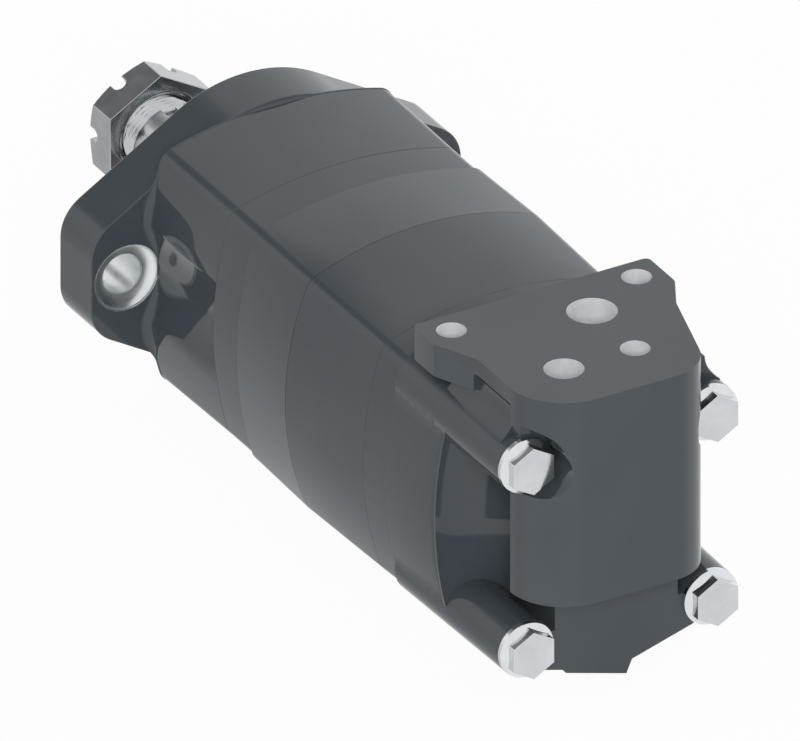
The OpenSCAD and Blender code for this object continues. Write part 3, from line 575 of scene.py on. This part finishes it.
def boss_saddle(side):
    """Cast metal that fills the corner between an upper bolt boss and the wall under the pad.

    Its outer face is a cubic curve that leaves the boss along its circle and ends straight up, just
    under the pad, carried along the boss. The outline is the left one, and the right one mirrors it.
    """
    leave = math.radians(SADDLE_LEAVES)
    start = np.array([BOSS_R * math.cos(leave) - BOSS_AT, BOSS_R * math.sin(leave) + BOSS_AT])
    tangent = np.array([math.sin(leave), -math.cos(leave)])
    end = np.array([-SADDLE_WALL, SADDLE_TOP])
    first_pull = start + SADDLE_PULL[0] * tangent
    last_pull = end - [0, SADDLE_PULL[1]]
    t = np.linspace(0, 1, 17)[:, None]
    far = 1 - t
    curve = far**3 * start + 3 * t * far**2 * first_pull + 3 * t**2 * far * last_pull + t**3 * end
    rise = 4.0
    inner = [[-SADDLE_ROOT, SADDLE_TOP], [-SADDLE_ROOT, BOSS_AT + rise], [-BOSS_AT, BOSS_AT]]
    outline = np.concatenate([curve, inner])
    rows = np.linspace(*SADDLE_REACH, 5)[:, None]
    shape = (len(rows), len(outline))
    across = np.broadcast_to(-side * outline[:, 0], shape)
    up = np.broadcast_to(outline[:, 1], shape)
    rings = np.stack([across, np.broadcast_to(rows, shape), up], -1)
    return grid_piece("boss_saddle_" + SIDE_NAME[side], rings, enamel, CASING)


def rear_fillet(side):
    """The hollow that runs from the body's rear face up to the neck of the port block.

    Its depth grows with the power 1.6 of the way from the body's side to the neck. The side bulges,
    so each row starts just inside the side's arc of SIDE_R.
    """
    inset = 0.2
    sunk = 0.5
    cover = 1
    way = np.linspace(0, 1, 21)
    rows = np.linspace(-REAR_HALF, REAR_HALF, 23)[:, None]
    edge = np.sqrt(SIDE_R**2 - rows**2) - SIDE_R + SIDE_HALF - inset
    across = np.concatenate([edge + (NECK_AT - edge) * way, np.full_like(edge, NECK_AT - sunk), edge], 1)
    back = np.concatenate([BODY_END - REAR_DEPTH * way**1.6, [BODY_END + cover, BODY_END + cover]])
    shape = across.shape
    rings = np.stack([side * across, np.broadcast_to(back, shape), np.broadcast_to(rows, shape)], -1)
    return grid_piece("rear_fillet_" + SIDE_NAME[side], rings, enamel, CASING)


def shaft_thread(far):
    """The threaded end: a core whose radius falls and rises along a helix, chamfered at both ends.

    At height y and angle a the thread's depth is a triangle wave of y / pitch - a / one turn. The
    pitch is that of 14 threads to the inch, and the photograph's rings are about as far apart.
    """
    overlap = 0.3
    last_row = 0.01
    rows_a_turn = 10
    rows = np.arange(THREAD_FROM - overlap, far + last_row, THREAD_PITCH / rows_a_turn)
    angle = np.linspace(0, TAU, 97)[:-1]
    wave = np.abs(((rows[:, None] / THREAD_PITCH - angle / TAU) % 1) * 2 - 1)
    to_end = np.minimum(rows - THREAD_FROM + THREAD_CHAMFER, far - rows)
    ends = np.clip(to_end / THREAD_CHAMFER_LONG, 0, 1)[:, None]
    radius = THREAD_R - THREAD_DEPTH * wave - (1 - ends) * THREAD_CHAMFER
    height = np.broadcast_to(rows[:, None], radius.shape)
    rings = np.stack([radius * np.cos(angle), height, radius * np.sin(angle)], -1)
    return grid_piece("shaft_thread", rings, steel, "shaft", smooth_angle=30)


def plain_shaft():
    """The output shaft up to its thread, which is a piece of its own."""
    piece = merged_copy("output_shaft")
    past_the_step = 0.05
    work = bmesh.new()
    work.from_mesh(piece.data)
    cut = bmesh.ops.bisect_plane(
        work,
        geom=work.verts[:] + work.edges[:] + work.faces[:],
        plane_co=(0, (THREAD_FROM + past_the_step) * MM, 0),
        plane_no=(0, 1, 0),
        clear_outer=True,
    )
    rim = [part for part in cut["geom_cut"] if isinstance(part, bmesh.types.BMEdge)]
    bmesh.ops.edgenet_fill(work, edges=rim)
    bmesh.ops.recalc_face_normals(work, faces=work.faces)
    work.to_mesh(piece.data)
    work.free()
    finish_edges(piece, 0.15)
    piece.data.materials.append(steel)
    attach(piece, "shaft")
    return piece


root_fillet()
for side in (-1, 1):
    spotface_bowl(side)
    boss_saddle(side)
    rear_fillet(side)
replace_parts(plain_shaft(), "output_shaft")
shaft_thread(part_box("output_shaft")[1].y / MM)

slot_of = {s["node"]: s["material_slot"] for s in frame["record"]["subparts"]}
for name, node in nodes.items():
    node.data.materials.clear()
    node.data.materials.append(FINISH[slot_of[name]])


# Floor, backdrop and light
def seen_or_mirrored(tree):
    """1 for rays from the camera, off gloss or through glass, and 0 for the ones that carry light."""
    rays = add(tree, "ShaderNodeLightPath").outputs
    highest = {"operation": "MAXIMUM"}
    either = add(tree, "ShaderNodeMath", highest, _0=rays["Is Camera Ray"], _1=rays["Is Glossy Ray"])
    any_one = add(tree, "ShaderNodeMath", highest, _0=either.outputs[0], _1=rays["Is Transmission Ray"])
    return any_one.outputs[0]


def white_when_seen(name, hex_colour, seen):
    """A matt surface that the camera, and mirrors, see as nearly white, and that still takes the shadow."""
    material, tree, shader, _ = new_material(name)
    shader.inputs["Base Color"].default_value = linear(hex_colour)
    shader.inputs["Roughness"].default_value = 0.9
    share = add(tree, "ShaderNodeMath", {"operation": "MULTIPLY"}, _0=seen_or_mirrored(tree), _1=seen)
    white = add(tree, "ShaderNodeEmission", Color=(1, 1, 1, 1), Strength=1.0).outputs[0]
    matt = shader.outputs["BSDF"]
    both = add(tree, "ShaderNodeMixShader", Fac=share.outputs[0], _1=matt, _2=white)
    output = next(n for n in tree.nodes if n.type == "OUTPUT_MATERIAL")
    tree.links.new(both.outputs[0], output.inputs["Surface"])
    return material


FLOOR_HALF = 3.0
FLOOR_DROP = 0.0005
floor_z = cad_box[0][2] - FLOOR_DROP
corners = [(FLOOR_HALF * x, FLOOR_HALF * y, floor_z) for x, y in ((-1, -1), (1, -1), (1, 1), (-1, 1))]
floor_mesh = bpy.data.meshes.new("floor")
floor_mesh.from_pydata(corners, [], [(0, 1, 2, 3)])
floor = bpy.data.objects.new("floor", floor_mesh)
floor_mesh.materials.append(white_when_seen("pale_floor", "#f2f2f2", 0.96))
scene.collection.objects.link(floor)
floor.visible_shadow = False
floor.visible_glossy = False

# How much light the studio sheds from all sides
AMBIENT = 0.45
# Darker walls of the studio, which only gloss and metal mirror: the way to each one's middle, its
# brightness there, and the degrees from its middle at which it starts to fade and is gone
DARK_WALLS = (
    ((-0.217, 0.75, 0.625), 0.25, 3, 20),
    ((-0.433, 0.75, -0.5), 0.7, 12, 50),
    ((0.433, -0.75, -0.5), 0.84, 8, 35),
)


def dark_wall(tree, way, middle, brightness, near, far):
    """1 away from the wall, and down to its brightness in its middle, by the angle between directions."""
    centre = Vector(middle).normalized()
    dot = add(tree, "ShaderNodeVectorMath", {"operation": "DOT_PRODUCT"}, _0=way, _1=centre)
    return add(
        tree,
        "ShaderNodeMapRange",
        {"interpolation_type": "SMOOTHSTEP"},
        Value=dot.outputs["Value"],
        From_Min=math.cos(math.radians(far)),
        From_Max=math.cos(math.radians(near)),
        To_Min=1.0,
        To_Max=brightness,
    ).outputs["Result"]


world = bpy.data.worlds.new("studio")
scene.world = world
world.use_nodes = True
sky = world.node_tree
sky.nodes.clear()
way = add(sky, "ShaderNodeTexCoord").outputs["Generated"]
walls = 1.0
for wall in DARK_WALLS:
    here = dark_wall(sky, way, *wall)
    walls = add(sky, "ShaderNodeMath", {"operation": "MULTIPLY"}, _0=walls, _1=here).outputs[0]
camera_ray = add(sky, "ShaderNodeLightPath").outputs["Is Camera Ray"]
mirrored = add(sky, "ShaderNodeMath", {"operation": "MAXIMUM"}, _0=camera_ray, _1=walls).outputs[0]
strength = add(
    sky, "ShaderNodeMix", {"data_type": "FLOAT"}, _0=seen_or_mirrored(sky), _2=AMBIENT, _3=mirrored
).outputs[0]
glow = add(sky, "ShaderNodeBackground", Color=(1, 1, 1, 1), Strength=strength)
add(sky, "ShaderNodeOutputWorld", Surface=glow.outputs[0])


def sun(name, towards, strength, spread):
    """A distant lamp in that direction, as many degrees wide as spread."""
    data = bpy.data.lights.new(name, "SUN")
    data.energy = strength
    data.angle = math.radians(spread)
    lamp = bpy.data.objects.new(name, data)
    lamp.visible_glossy = False
    lamp.rotation_euler = Vector(towards).to_track_quat("Z", "Y").to_euler()
    scene.collection.objects.link(lamp)


sun("right_side", (0.904, 0.189, 0.383), 0.7, 25)
sun("rear_left", (-0.433, -0.75, 0.5), 1.45, 20)
